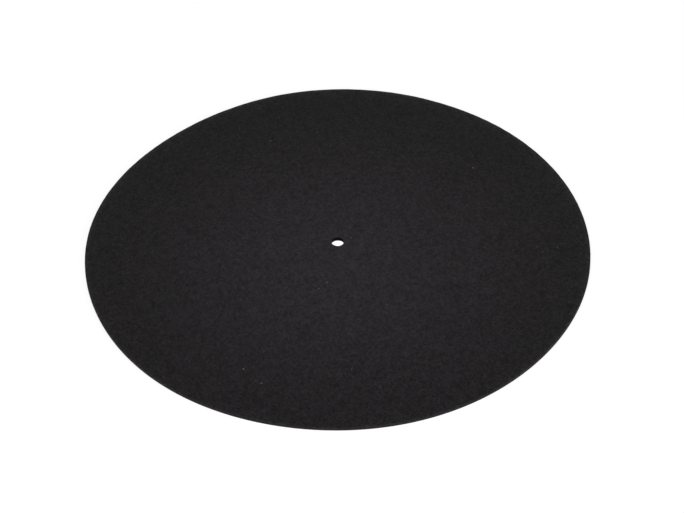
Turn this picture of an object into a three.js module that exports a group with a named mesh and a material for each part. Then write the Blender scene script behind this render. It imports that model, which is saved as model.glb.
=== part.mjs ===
// A turntable platter mat: one flat disc of dense black felt, die-cut from sheet, with a hole for the
// spindle. It lies loose on the platter, and the record lies on it.
//
// Millimetres, +Z up. The origin is the middle of the spindle hole, in the plane of the underside.

import * as THREE from "three";

// The sheet, and what its two cuts are sized by
const matDiameter = 295; // just inside the rim of a platter for twelve-inch records
const feltThickness = 1.8;
const spindleDiameter = 7.1;
const spindleClearance = 0.05; // all round, so that the mat drops on freely and still runs true

// The edges that the large die and the small punch leave in felt
const drawnRadius = 0.4; // the rim's top edge, drawn down by the blade as it enters
const pinchedRadius = 0.15; // the rim's lower edge, pinched against the cutting board
const punchedRadius = 0.15; // both edges of the hole, which stay crisp
const cutLean = 0.08; // how far the blade's bevel pushes the rim's top edge in behind its lower one

// How finely the round stretches are divided
const turnSteps = 144; // round the disc
const drawnSteps = 4;
const crispSteps = 2;

const rimRadius = matDiameter / 2;
const holeRadius = spindleDiameter / 2 + spindleClearance;
const quarterTurn = Math.PI / 2;

// One rounded edge of the section, a quarter turn about its centre, anticlockwise from startAngle.
function roundedEdge(centreRadius, centreHeight, radius, startAngle, steps) {
  return new THREE.EllipseCurve(
    centreRadius,
    centreHeight,
    radius,
    radius,
    startAngle,
    startAngle + quarterTurn,
  ).getPoints(steps);
}

// The felt cut through on one side of the axis, as (distance from the axis, height) and anticlockwise:
// out along the underside, up the rim, in along the top face and down the wall of the hole.
function feltSection() {
  const pinchedCentre = rimRadius - pinchedRadius;
  const drawnCentre = rimRadius - cutLean - drawnRadius;
  const punchedCentre = holeRadius + punchedRadius;
  const points = [
    ...roundedEdge(pinchedCentre, pinchedRadius, pinchedRadius, -quarterTurn, crispSteps),
    ...roundedEdge(drawnCentre, feltThickness - drawnRadius, drawnRadius, 0, drawnSteps),
    ...roundedEdge(punchedCentre, feltThickness - punchedRadius, punchedRadius, quarterTurn, crispSteps),
    ...roundedEdge(punchedCentre, punchedRadius, punchedRadius, 2 * quarterTurn, crispSteps),
  ];
  return [...points, points[0].clone()];
}

function feltMaterial() {
  return new THREE.MeshStandardMaterial({ color: 0x2a282a, roughness: 0.95, metalness: 0 });
}

// The lathe turns the section about Y, so the finished disc is laid down to face +Z.
function platterMat() {
  const disc = new THREE.LatheGeometry(feltSection(), turnSteps).rotateX(quarterTurn);
  const mat = new THREE.Mesh(disc, feltMaterial());
  mat.name = "platter_mat";
  return mat;
}

const part = new THREE.Group();
part.add(platterMat());

export default part;
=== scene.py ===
# %% [markdown]
# A turntable mat is a flat disc of dense felt. It lies loose on the platter, and the record lies on it.
# The frame already holds the disc at its real size, as a plain solid. This lesson makes the felt itself:
# a sheet that is cut with a die, lies a little unevenly, and shows its fibres and the lint it picks up.
# It begins by loading the frame and measuring the solid, so that nothing here has to be sized twice.

# %% Load the frame and measure the mat
import math

import bpy
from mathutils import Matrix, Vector


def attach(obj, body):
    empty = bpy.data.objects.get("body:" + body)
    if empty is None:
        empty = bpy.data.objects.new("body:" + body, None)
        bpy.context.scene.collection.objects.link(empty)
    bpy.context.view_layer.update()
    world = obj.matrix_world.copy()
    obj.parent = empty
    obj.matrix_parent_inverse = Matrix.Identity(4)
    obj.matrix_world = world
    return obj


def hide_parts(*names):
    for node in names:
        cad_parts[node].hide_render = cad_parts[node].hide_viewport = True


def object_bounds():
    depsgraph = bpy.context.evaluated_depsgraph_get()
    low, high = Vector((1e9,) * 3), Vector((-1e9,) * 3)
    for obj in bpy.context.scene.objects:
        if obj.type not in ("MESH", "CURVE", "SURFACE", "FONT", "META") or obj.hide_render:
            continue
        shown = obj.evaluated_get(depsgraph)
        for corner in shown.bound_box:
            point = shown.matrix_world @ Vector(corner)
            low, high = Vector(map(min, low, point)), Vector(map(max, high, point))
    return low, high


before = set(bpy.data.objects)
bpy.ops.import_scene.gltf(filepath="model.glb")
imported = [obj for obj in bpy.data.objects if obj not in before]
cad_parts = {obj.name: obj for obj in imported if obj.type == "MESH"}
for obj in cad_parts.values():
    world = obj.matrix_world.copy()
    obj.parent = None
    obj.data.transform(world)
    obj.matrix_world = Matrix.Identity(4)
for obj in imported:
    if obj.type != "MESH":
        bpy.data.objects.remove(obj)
cad_low, cad_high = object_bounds()

mm = 0.001  # Blender works in metres, and felt is thought of in millimetres

solid_mat = bpy.data.objects["platter_mat"]
corner_radii = [corner.co.xy.length for corner in solid_mat.data.vertices]
rim_radius = max(corner_radii)
hole_radius = min(corner_radii)
thickness = cad_high.z - cad_low.z
print(f"The mat is {2 * rim_radius / mm:.1f} mm across and {thickness / mm:.2f} mm thick")
print(f"Its spindle hole is {2 * hole_radius / mm:.2f} mm across")

# %% [markdown]
# A photograph of a round thing tells where its camera stood. A circle of known size makes one ellipse
# from one height only, the place of the hole inside the ellipse gives the distance, and the tilt of the
# ellipse gives the roll. One could hang the camera on an empty that tracks the mat, but plain numbers
# for distance, height and roll are easier to check against the picture, so the camera is set by them.

# %% Set the camera
camera_lens = 96.3  # millimetres, as the sensor's width is
sensor_width = 36
camera_distance = 1.0667
camera_elevation = math.radians(42.25)
camera_roll = math.radians(-1.46)
camera_aim = Vector((2.3 * mm, -10.8 * mm, 0))  # the point of the table in the middle of the picture


def from_aim(aim, azimuth, elevation, distance):
    """The point at that distance from aim. Azimuth 0 is in front, on the side of -Y, and 90 is on +X."""
    level = distance * math.cos(elevation)
    reach = Vector((level * math.sin(azimuth), -level * math.cos(azimuth), distance * math.sin(elevation)))
    return aim + reach


bpy.ops.object.camera_add(location=from_aim(camera_aim, 0, camera_elevation, camera_distance))
camera = bpy.context.object
camera.name = "photo_camera"
camera.data.lens = camera_lens
camera.data.sensor_width = sensor_width
camera.rotation_mode = "ZYX"  # the roll about the line of sight comes first, then the tilt
camera.rotation_euler = (math.pi / 2 - camera_elevation, 0, camera_roll)
bpy.context.scene.camera = camera
print(f"The camera stands {camera.location.z:.3f} m above the table and {-camera.location.y:.3f} m in front")

# %% [markdown]
# Shader trees are sums and products of patterns, so they read best as sums and products. This small
# class holds one output of a node. Adding, multiplying or comparing two of them adds the Math node that
# does it, and its node method adds any other node: first the node's own settings, then its inputs.


# %% Write shaders as expressions
class Signal:
    """One output of a shader node, which Python's operators turn into further nodes."""

    def __init__(self, tree, socket):
        self.tree = tree
        self.socket = socket

    def node(self, kind, settings=None, inputs=None, output=0):
        """Adds a node, sets it up, feeds its inputs with numbers or other signals, and gives its output."""
        added = self.tree.nodes.new(kind)
        for name, value in (settings or {}).items():
            setattr(added, name, value)
        for name, value in (inputs or {}).items():
            if isinstance(value, Signal):
                self.tree.links.new(value.socket, added.inputs[name])
            else:
                added.inputs[name].default_value = value
        return Signal(self.tree, added.outputs[output])

    def other(self, output):
        """Another output of the node that this signal comes from."""
        return Signal(self.tree, self.socket.node.outputs[output])

    def feeds(self, shader, name):
        """Links this signal to one input of a shader."""
        self.tree.links.new(self.socket, shader.inputs[name])

    def math(self, operation, first, second=0.0):
        return self.node("ShaderNodeMath", {"operation": operation}, {0: first, 1: second})

    def __add__(self, other):
        return self.math("ADD", self, other)

    def __mul__(self, other):
        return self.math("MULTIPLY", self, other)

    def __sub__(self, other):
        return self.math("SUBTRACT", self, other)

    def __rsub__(self, other):
        return self.math("SUBTRACT", other, self)

    __radd__ = __add__
    __rmul__ = __mul__

    def highest(self, other):
        return self.math("MAXIMUM", self, other)

    def unsigned(self):
        return self.math("ABSOLUTE", self)

    def ramp(self, start, end):
        """0 below start and 1 above end, with a soft step between; start may be the higher of the two."""
        limits = {"Value": self, "From Min": start, "From Max": end}
        return self.node("ShaderNodeMapRange", {"interpolation_type": "SMOOTHSTEP"}, limits)

    def noise(self, size, detail=0.0, roughness=0.5):
        """A cloudy pattern from 0 to 1 whose clouds are about that size, read at these coordinates."""
        inputs = {"Vector": self, "Scale": 1 / size, "Detail": detail, "Roughness": roughness}
        return self.node("ShaderNodeTexNoise", {"noise_dimensions": "3D"}, inputs)

    def moved(self, step):
        """These coordinates, with a step added to them."""
        return self.node("ShaderNodeVectorMath", {"operation": "ADD"}, {0: self, 1: step})

    def distance_to(self, point):
        return self.node("ShaderNodeVectorMath", {"operation": "DISTANCE"}, {0: self, 1: point}, "Value")

    def scaled(self, vector, factor):
        """A vector or colour times a factor, each of which may be numbers or a signal."""
        return self.node("ShaderNodeVectorMath", {"operation": "SCALE"}, {0: vector, "Scale": factor})

    def covered(self, colour, cover):
        """This colour with another laid over it, as far as cover says."""
        inputs = {"Factor": cover, 6: self, 7: (*colour, 1)}  # 6 and 7 are the node's two colours
        return self.node("ShaderNodeMix", {"data_type": "RGBA"}, inputs, 2)


def new_tree(owner, shader_kind, shader_values):
    """Empties the node tree of a material or world, and gives it back with one shader that ends it."""
    owner.use_nodes = True
    tree = owner.node_tree
    tree.nodes.clear()
    shader = tree.nodes.new(shader_kind)
    for name, value in shader_values.items():
        shader.inputs[name].default_value = value
    kind = "ShaderNodeOutputWorld" if isinstance(owner, bpy.types.World) else "ShaderNodeOutputMaterial"
    result = tree.nodes.new(kind)
    tree.links.new(shader.outputs[0], result.inputs["Surface"])
    return tree, shader


def object_place(tree):
    """Where a point lies in its own object, in metres."""
    return Signal(tree, None).node("ShaderNodeTexCoord", output="Object")


print("Shaders can now be written as sums and products")

# %% [markdown]
# The photograph shows the mat on plain white with almost no shadow, as in a shop's picture. Stronger
# lamps would get there, but they would grey the felt too. Instead the table and the world look white to
# the camera and in reflections, and light the felt only as a pale table in a bright room would. Near the
# mat the table's glow leaves room for a faint shadow, and further off it is as white as the world.

# %% Make the white surroundings
room_light = 0.495
table_width = 12
table_drop = 0.02 * mm  # how far it lies under the felt, so that no two faces share one place
table_grey = 0.8  # as the felt's light sees it
table_share = 0.36  # how much of that grey the camera sees, under a white glow that leaves a shadow faint
table_glow = 0.815
shadow_reach = 0.3  # metres from the spindle, after which the glow grows to full white


def seen_directly(tree):
    """1 for the rays that see the surroundings, straight or in a shine, and 0 for those that carry light."""
    straight = Signal(tree, None).node("ShaderNodeLightPath", output="Is Camera Ray")
    return straight.highest(straight.other("Is Glossy Ray")).highest(straight.other("Is Transmission Ray"))


def bright_room():
    room = bpy.data.worlds.new("bright_room")
    tree, background = new_tree(room, "ShaderNodeBackground", {"Color": (1, 1, 1, 1)})
    light = room_light + seen_directly(tree) * (1 - room_light)
    light.feeds(background, "Strength")
    return room


def table_paint():
    paint = bpy.data.materials.new("white_table")
    dull = {"Roughness": 1, "Specular IOR Level": 0, "Emission Strength": 1}
    tree, shader = new_tree(paint, "ShaderNodeBsdfPrincipled", dull)
    seen = seen_directly(tree)
    grey = table_grey * (1 - seen * (1 - table_share))
    grey.feeds(shader, "Base Color")
    far_off = object_place(tree).distance_to((0, 0, 0)).ramp(shadow_reach, 3 * shadow_reach)
    glow = seen * (table_glow + far_off * (1 - table_glow))
    glow.feeds(shader, "Emission Color")
    return paint


bpy.context.scene.world = bright_room()
bpy.ops.mesh.primitive_plane_add(size=table_width, location=(0, 0, -table_drop))
table = bpy.context.object
table.name = "white_table"
table.data.materials.append(table_paint())
print(f"The table is {table.dimensions.x:.0f} m wide")

# %% [markdown]
# The felt is lightest in the middle and falls off evenly towards its rim, which one soft lamp above the
# spindle does. Two more stand low in front, left and right of the camera, where the photograph's cut
# edge is a little lighter than its face. Area lamps are used, because they act as softboxes do.

# %% Hang the lamps
lamp_aim = Vector((0, -22 * mm, 0))  # the lightest place, a little in front of the spindle


def add_softbox(name, azimuth, elevation, distance, size, power, beam=180):
    """A round lamp that faces the lightest place. A narrow beam is what a grid on the softbox gives."""
    place = from_aim(lamp_aim, math.radians(azimuth), math.radians(elevation), distance)
    bpy.ops.object.light_add(type="AREA", location=place)
    lamp = bpy.context.object
    lamp.name = name
    lamp.rotation_euler = (place - lamp_aim).to_track_quat("Z", "Y").to_euler()
    lamp.data.shape = "DISK"
    lamp.data.size = size
    lamp.data.energy = power
    lamp.data.spread = math.radians(beam)
    lamp.visible_camera = False
    print(f"{name}: {power} W at {place.z:.2f} m")


add_softbox("top_lamp", azimuth=0, elevation=90, distance=0.9, size=0.09, power=0.051, beam=18)
add_softbox("left_lamp", azimuth=-60, elevation=18, distance=1.3, size=0.5, power=4)
add_softbox("right_lamp", azimuth=60, elevation=18, distance=1.3, size=0.5, power=7)

# %% [markdown]
# The mat is struck out of the sheet in one blow, so it is a flat disc with the same section all round. It
# could be turned from that section. Growing it from the hole outwards ring by ring says more about the
# mesh, because it gives even rings for the felt's lumps to follow. The lower face is then extruded up to
# the felt's thickness, and the rim's upper edge is drawn in a little, as far as the blade leans.

# %% Grow the sheet from the hole to the rim
around = 480  # points round each ring
ring_count = 70  # rings between the hole and the rim
cut_lean = 0.08 * mm
close_enough = 0.01 * mm  # within which two heights or distances count as the same


def pick_ring(piece, radius, height):
    """Selects the ring of edges at one radius and height, in a piece that is open for editing."""
    bpy.ops.mesh.select_mode(type="EDGE")
    bpy.ops.mesh.select_all(action="DESELECT")
    bpy.ops.object.mode_set(mode="OBJECT")
    places = [corner.co for corner in piece.data.vertices]
    for edge in piece.data.edges:
        ends = [places[corner] for corner in edge.vertices]
        level = all(abs(end.z - height) < close_enough for end in ends)
        edge.select = level and all(abs(end.xy.length - radius) < close_enough for end in ends)
    bpy.ops.object.mode_set(mode="EDIT")


bpy.ops.object.select_all(action="DESELECT")
bpy.ops.mesh.primitive_circle_add(vertices=around, radius=hole_radius, fill_type="NOTHING")
felt_sheet = bpy.context.object
felt_sheet.name = "felt_sheet"
felt_sheet.data.name = "felt_sheet"
bpy.ops.object.mode_set(mode="EDIT")
ring_step = (rim_radius - hole_radius) / ring_count
for ring in range(ring_count):
    growth = (hole_radius + (ring + 1) * ring_step) / (hole_radius + ring * ring_step)
    bpy.ops.mesh.extrude_region_move()
    bpy.ops.transform.resize(value=(growth, growth, 1))
bpy.ops.mesh.select_all(action="SELECT")
bpy.ops.mesh.extrude_region_move(TRANSFORM_OT_translate={"value": (0, 0, thickness)})
bpy.ops.mesh.select_all(action="SELECT")
bpy.ops.mesh.normals_make_consistent(inside=False)
pick_ring(felt_sheet, rim_radius, thickness)
upper_rim = rim_radius - cut_lean
bpy.ops.transform.resize(value=(upper_rim / rim_radius, upper_rim / rim_radius, 1))
bpy.ops.object.mode_set(mode="OBJECT")
print(f"The sheet has {len(felt_sheet.data.polygons)} faces, in rings {ring_step / mm:.2f} mm wide")

# %% [markdown]
# At the rim the large die draws the felt down as it enters and pinches it as it leaves, so the upper
# arris is well rounded and the lower one nearly sharp. The little hole is punched, and its edges stay
# crisp. A Bevel modifier would round all four alike. The bevel operator takes one ring at a time.

# %% Round the cut edges
drawn_roll = 0.4 * mm  # the rim's upper edge
crisp_roll = 0.15 * mm  # the rim's lower edge and the hole's upper one
foot_roll = 0.04 * mm  # the hole's lower edge, where the punch meets the board
drawn_steps = 4
crisp_steps = 2


def round_ring(piece, radius, height, roll, steps):
    pick_ring(piece, radius, height)
    bpy.ops.mesh.bevel(offset=roll, segments=steps, affect="EDGES")


bpy.ops.object.mode_set(mode="EDIT")
round_ring(felt_sheet, upper_rim, thickness, drawn_roll, drawn_steps)
round_ring(felt_sheet, rim_radius, 0, crisp_roll, crisp_steps)
round_ring(felt_sheet, hole_radius, thickness, crisp_roll, crisp_steps)
round_ring(felt_sheet, hole_radius, 0, foot_roll, crisp_steps)
bpy.ops.object.mode_set(mode="OBJECT")
bpy.ops.object.shade_smooth()
print(f"With its edges rounded it has {len(felt_sheet.data.polygons)} faces")

# %% [markdown]
# The sheet was pressed from loose wool, so its upper face is a little lumpy, thicker in some places than
# in others, and its cut wall is not quite smooth. A sculptor would dab at it. Displace modifiers do the
# same with cloud textures, which come out alike every time. A vertex group keeps the underside flat.

# %% Make the felt uneven
lump_size = 5 * mm
lump_depth = 0.25 * mm
swell_size = 45 * mm
swell_depth = 0.3 * mm
ragged_size = 4 * mm
ragged_depth = 0.15 * mm
ragged_border = 1 * mm  # how far in from the rim the cut's raggedness reaches


def weigh(piece, name, weight):
    """Adds a vertex group in which each corner weighs what the function says of its place."""
    group = piece.vertex_groups.new(name=name)
    for corner in piece.data.vertices:
        group.add([corner.index], weight(corner.co), "REPLACE")


def displace(piece, name, size, depth, direction, group):
    """Pushes the corners of one vertex group in and out by a cloud texture of that size and depth."""
    clouds = bpy.data.textures.new(name, "CLOUDS")
    clouds.noise_scale = size
    push = piece.modifiers.new(name, "DISPLACE")
    push.texture = clouds
    push.texture_coords = "LOCAL"
    push.direction = direction
    push.strength = depth
    push.vertex_group = group
    bpy.ops.object.modifier_apply(modifier=name)


def height_share(place):
    """0 on the underside, 1 on the upper face and in between on the cuts."""
    return min(max(place.z / thickness, 0), 1)


def height_at_rim(place):
    """The same at the rim, and 0 further in."""
    return height_share(place) if place.xy.length > rim_radius - ragged_border else 0


upper_height = thickness - close_enough
upper_corners = [corner.index for corner in felt_sheet.data.vertices if corner.co.z > upper_height]
weigh(felt_sheet, "upper_face", height_share)
weigh(felt_sheet, "cut_wall", height_at_rim)
displace(felt_sheet, "lumps", lump_size, lump_depth, "Z", "upper_face")
displace(felt_sheet, "swells", swell_size, swell_depth, "Z", "upper_face")
displace(felt_sheet, "ragged_cut", ragged_size, ragged_depth, "NORMAL", "cut_wall")
felt_sheet.vertex_groups.clear()
heights = [felt_sheet.data.vertices[corner].co.z for corner in upper_corners]
print(f"The upper face now lies {min(heights) / mm:.2f} to {max(heights) / mm:.2f} mm up")

# %% [markdown]
# Felt gives under the die and relaxes after it, so a cut disc is never quite round: this one strays from
# its circle by a millimetre or so, in a few broad lobes. The foot of its hole has closed a little from
# front and back, and where the punch was drawn out, the upper edge stands up in a low lip. A lattice
# could pull it all out of shape. Moving each corner is simpler: the lobes grow with its distance from
# the spindle, and the rest fades with it. An attribute keeps each corner's distance as cut, for the
# material to find the edges by.

# %% Let the cuts relax
closing = 0.5 * mm  # how far the foot of the hole's wall has moved in; its upper edge stays
lip = 0.25 * mm
lobes = (  # how many round the disc, how far each stands out, and the direction of the first
    (2, 0.15 * mm, math.radians(74)),
    (3, 0.5 * mm, math.radians(-45)),
    (4, 0.35 * mm, math.radians(0)),
    (5, 0.2 * mm, math.radians(20)),
    (6, 0.2 * mm, math.radians(-15)),
)
as_cut = felt_sheet.data.attributes.new("as_cut", "FLOAT", "POINT")
rim_reaches = []
for corner in felt_sheet.data.vertices:
    reach = corner.co.xy.length
    as_cut.data[corner.index].value = reach
    direction = math.atan2(corner.co.y, corner.co.x)
    bulge = sum(height * math.cos(count * (direction - first)) for count, height, first in lobes)
    up = height_share(corner.co)
    corner.co.xy *= 1 + bulge * (reach / rim_radius) ** 2 / reach
    corner.co.y *= 1 - closing * (1 - up) * (hole_radius / reach) ** 2 / reach
    corner.co.z += lip * up * (hole_radius / reach) ** 4
    if reach > rim_radius - ragged_depth:
        rim_reaches.append(corner.co.xy.length)
foot_reach = min(corner.co.xy.length for corner in felt_sheet.data.vertices)
print(f"The rim now lies {min(rim_reaches) / mm:.2f} to {max(rim_reaches) / mm:.2f} mm from the spindle")
print(f"The foot of the hole is {2 * foot_reach / mm:.2f} mm from front to back")

# %% [markdown]
# Black felt has no pattern of its own. What the eye reads as felt is a tangle: single fibres that curl
# over and under each other, and thicker locks of them. A photograph of felt would be quick, but it would
# repeat and blur. Smooth noise has the lines needed: where it crosses its middle value, it draws thin
# curls that never end. Stretched and laid in several directions, they tangle as wool does.

# %% Tangle the fibres
fibre_width = 0.08 * mm
fibre_spacing = 1.0 * mm
lock_width = 0.22 * mm
lock_spacing = 1.6 * mm
stretch = 2.5  # how much longer than wide the curls are
flatness = 0.35  # how thick the layers are for their width, as a cut through them shows
layer_turns = (-60, -30, 0, 30, 60)
noise_middle = 0.5
rise_size = 1.2  # how long a curl stays on top before it goes under, in spacings
sunk = 0.4  # where the noise that says so is below this, the curl is under the rest
risen = 0.7  # where it is above this, the curl lies fully on top


def curls(place, width, spacing, turn):
    """Thin curling lines, as heights from 0 to 1, that come up and go under as they run."""
    laid = place.node(
        "ShaderNodeMapping",
        {"vector_type": "TEXTURE"},  # it turns the pattern first and stretches it after
        {
            "Vector": place,
            "Location": (0, 0, (turn + 1) * mm),  # each layer reads the noise at a height of its own
            "Rotation": (0, 0, math.radians(turn)),
            "Scale": (1, stretch, flatness),
        },
    )
    off_line = (laid.noise(spacing) - noise_middle).unsigned()
    line = off_line.ramp(width / spacing, 0)
    rise = laid.noise(rise_size * spacing).ramp(sunk, risen)
    return line * rise


def tangle(place, width, spacing):
    """Curls in several directions, with the highest on top."""
    top = curls(place, width, spacing, layer_turns[0])
    for turn in layer_turns[1:]:
        top = top.highest(curls(place, width, spacing, turn))
    return top


print(f"Fibres are {fibre_width / mm:.2f} mm wide and locks {lock_width / mm:.2f} mm")
print(f"Both lie in {len(layer_turns)} layers")

# %% [markdown]
# Felt holds on to lint, and on black it shows. The largest flecks lie where the photograph shows them,
# each a soft dot whose outline a little noise makes ragged, and finer dust lies here and there. They could
# be modelled, but a fleck of half a millimetre has no thickness to speak of, so a mask in the material is
# enough, and it can't come loose.

# %% Drop the lint
flecks = (  # right of the spindle and away from the viewer in millimetres, and how much of a full fleck
    (-43, -113, 1.0),
    (-6.5, -34.5, 1.0),
    (-48, 129.5, 1.0),
    (-53, -102, 0.9),
    (-40.5, 96.5, 0.9),
    (84, 65, 0.8),
    (-11.5, 103.5, 0.8),
    (119, -13, 0.5),
    (27, -54, 0.5),
    (8, 3.5, 0.4),
    (6, -104, 0.4),
    (-46, -111, 0.4),
    (-42, -89, 0.35),
    (-11.5, -39.5, 0.35),
    (116, -8.5, 0.35),
    (128, -9.5, 0.3),
    (66.5, -34, 0.2),
)
fleck_radius = 0.5 * mm
fleck_core = 0.1 * mm  # within which a fleck is as thick as it gets
fray_size = 0.5 * mm
fray_depth = 0.4 * mm
dust_radius = 0.25 * mm
dust_spacing = 11 * mm
dust_share = 0.4
clean_cell = 0.6  # the cells whose random colour is darker than this have no dust
dusty_cell = 0.8


def dust(place):
    """Small dots, one to a cell, in the few cells whose own random colour is light."""
    cells = {"Vector": place, "Scale": 1 / dust_spacing}
    reach = place.node("ShaderNodeTexVoronoi", {"voronoi_dimensions": "2D"}, cells, "Distance")
    dots = reach.ramp(dust_radius / dust_spacing, 0)
    return dots * reach.other("Color").ramp(clean_cell, dusty_cell) * dust_share


def lint(place):
    """1 in the middle of the largest flecks, and 0 on clean felt."""
    fray = place.noise(fray_size, detail=2).other("Color")
    frayed = place.moved(place.scaled(fray, fray_depth))
    shift = noise_middle * fray_depth  # how far the fray moves a point on average
    cover = dust(place)
    for right, away, share in flecks:
        middle = (right * mm + shift, away * mm + shift, thickness + shift)
        cover = cover + frayed.distance_to(middle).ramp(fleck_radius, fleck_core) * share
    return cover


print(f"{len(flecks)} flecks of lint up to {2 * fleck_radius / mm:.1f} mm across, and dust between them")

# %% [markdown]
# Where felt is cut, its fibre ends stand out and catch the light, so a painted highlight makes the cut
# wall lighter than the face. Along the rim a painted sheen lightens the face, most on the far side and
# hardly at the front. Down in the hole almost no light is left, and painted shade darkens its wall.
# All this could be painted into an image. Masks on the distance as cut need no image, and they follow
# the relaxed outline from every side.

# %% Paint light on the rim and shade in the hole
border_width = 14 * mm  # the painted sheen begins here, faintly
strip_width = 4 * mm  # it thickens from here
strip_core = 0.8 * mm  # and is at its thickest from here to the cut
border_sheen = 0.2  # how much lighter each painted sheen makes the face where it is strongest
strip_sheen = 0.7
front_sheen_share = 0.2  # how much of the painted sheen is left at the front
# painted highlight on the cut wall, where the fibre ends catch the light
cut_highlight = 0.7
cut_begins = upper_rim - 2 * drawn_roll
cut_proper = upper_rim - drawn_roll / 2
hole_painted_shade = 0.9  # painted shade: how much of its light the felt has lost at the hole's upper edge
dark_depth = 0.4 * thickness  # from which down it has lost all


def painted_light_and_shade(place):
    """How much lighter or darker the felt is painted, for light at the rim and shade in the hole; 1 on the
    face.
    """
    distance = place.node("ShaderNodeAttribute", {"attribute_name": "as_cut"}, output="Fac")
    height = place.node("ShaderNodeSeparateXYZ", None, {0: place}, "Z")
    at_border = distance.ramp(rim_radius - border_width, rim_radius - strip_width)
    at_strip = distance.ramp(rim_radius - strip_width, rim_radius - strip_core)
    at_cut = distance.ramp(cut_begins, cut_proper)
    # painted sheen along the rim, strongest on the far side
    rim_sheen = front_sheen_share + height.other("Y").ramp(-rim_radius, rim_radius) * (1 - front_sheen_share)
    lighter = rim_sheen * (at_border * border_sheen + at_strip * strip_sheen) + at_cut * cut_highlight
    # painted shade in the hole, darkest down its wall
    in_hole = distance.ramp(hole_radius + crisp_roll, hole_radius)
    depth = height.ramp(thickness, thickness - dark_depth)
    return (1 + lighter) * (1 - in_hole * (hole_painted_shade + depth * (1 - hole_painted_shade)))


print(f"The strip along the rim is {strip_width / mm:.1f} mm wide")

# %% [markdown]
# All these parts meet in one material. Fibres and locks lighten the felt where they lie on top and raise
# it in a bump, and a broad mottling stands for wool that is packed more or less closely. Strands of hair
# would do for one square centimetre, but not for a disc of this size. The felt is rough and nearly
# without gloss, and a faint sheen stands for the fuzz that catches light edge on.

# %% Make the felt
felt_colour = (0.0129, 0.0117, 0.01285)
lint_colour = (0.25, 0.245, 0.24)
bare_light = 0.495  # how light the felt is between the curls, and what each pattern adds to that
fibre_light = 0.76
lock_light = 0.56
mottle_light = 0.45
mottle_size = 9 * mm
bare_hold = 0.5  # how much lint shows between the fibres, which hold more of it
fibre_relief = 0.4
lock_relief = 0.6
relief_depth = 0.15 * mm
relief_strength = 0.6
felt_finish = {
    "Roughness": 0.95,
    "Specular IOR Level": 0.06,
    "Sheen Weight": 0.05,
    "Sheen Roughness": 0.5,
}


def felt_material():
    felt = bpy.data.materials.new("black_felt")
    tree, cloth = new_tree(felt, "ShaderNodeBsdfPrincipled", felt_finish)
    place = object_place(tree)
    fibres = tangle(place, fibre_width, fibre_spacing)
    locks = tangle(place, lock_width, lock_spacing)
    mottle = place.noise(mottle_size, detail=2, roughness=0.9) - noise_middle
    grain = bare_light + fibres * fibre_light + locks * lock_light + mottle * mottle_light
    clean = place.scaled(felt_colour, grain * painted_light_and_shade(place))
    linty = clean.covered(lint_colour, lint(place) * (bare_hold + fibres))
    linty.feeds(cloth, "Base Color")
    relief = fibres * fibre_relief + locks * lock_relief
    raised = {"Height": relief, "Distance": relief_depth, "Strength": relief_strength}
    place.node("ShaderNodeBump", None, raised).feeds(cloth, "Normal")
    return felt


felt_sheet.data.materials.append(felt_material())
print(f"The felt is mottled in patches of about {mottle_size / mm:.0f} mm")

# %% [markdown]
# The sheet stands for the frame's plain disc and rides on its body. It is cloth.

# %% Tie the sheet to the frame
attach(felt_sheet, "root")
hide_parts("platter_mat")

# %% [markdown]
# The picture uses Blender's plain Standard view, which shows a colour as it is written. Last, the frame's
# size is set down.

# %% Finish
bpy.context.scene.view_settings.view_transform = "Standard"

print(f"Frame {[round(v / mm, 2) for v in cad_high - cad_low]} mm")
